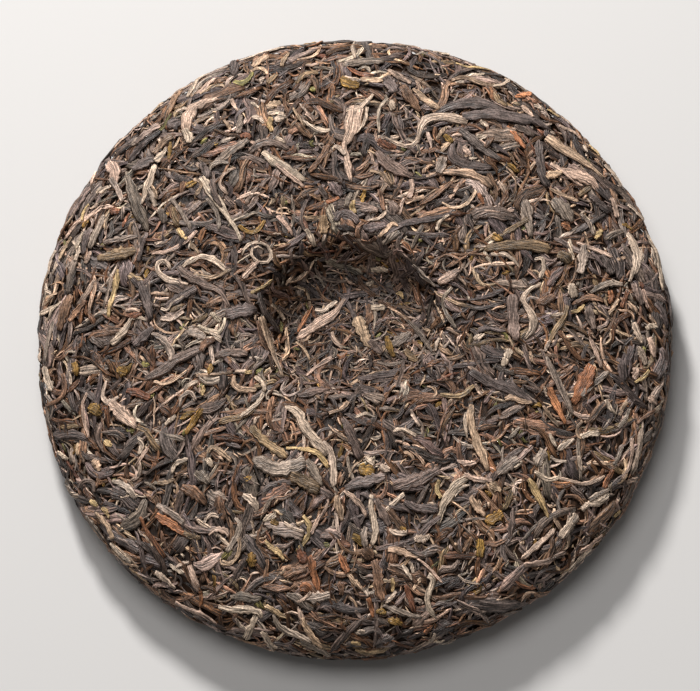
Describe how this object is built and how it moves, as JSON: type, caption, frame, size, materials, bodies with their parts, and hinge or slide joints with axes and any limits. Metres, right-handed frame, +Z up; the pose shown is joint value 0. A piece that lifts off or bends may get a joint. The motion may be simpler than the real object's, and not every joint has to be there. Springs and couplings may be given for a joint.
{
  "type": "pressed tea cake",
  "caption": "Round cake of pressed dark tea leaves with a lens-shaped section and a pressed dimple in its back, lying on its front.",
  "frame": {"origin": "under the middle of the cake, on the surface that its domed front rests on", "axes": "+Z up, out of the dimpled back; +Y towards the top of the cake as the picture shows it, the side that the dimple is shifted to; +X towards the picture's right"},
  "size_m": [0.2012, 0.2, 0.026],
  "materials": {
    "pressed_tea": "matt to satin dry twisted leaves, dark brown and slate with pale tan tips"
  },
  "bodies": {
    "root": {"tea_cake": "pressed_tea"}
  },
  "joints": []
}
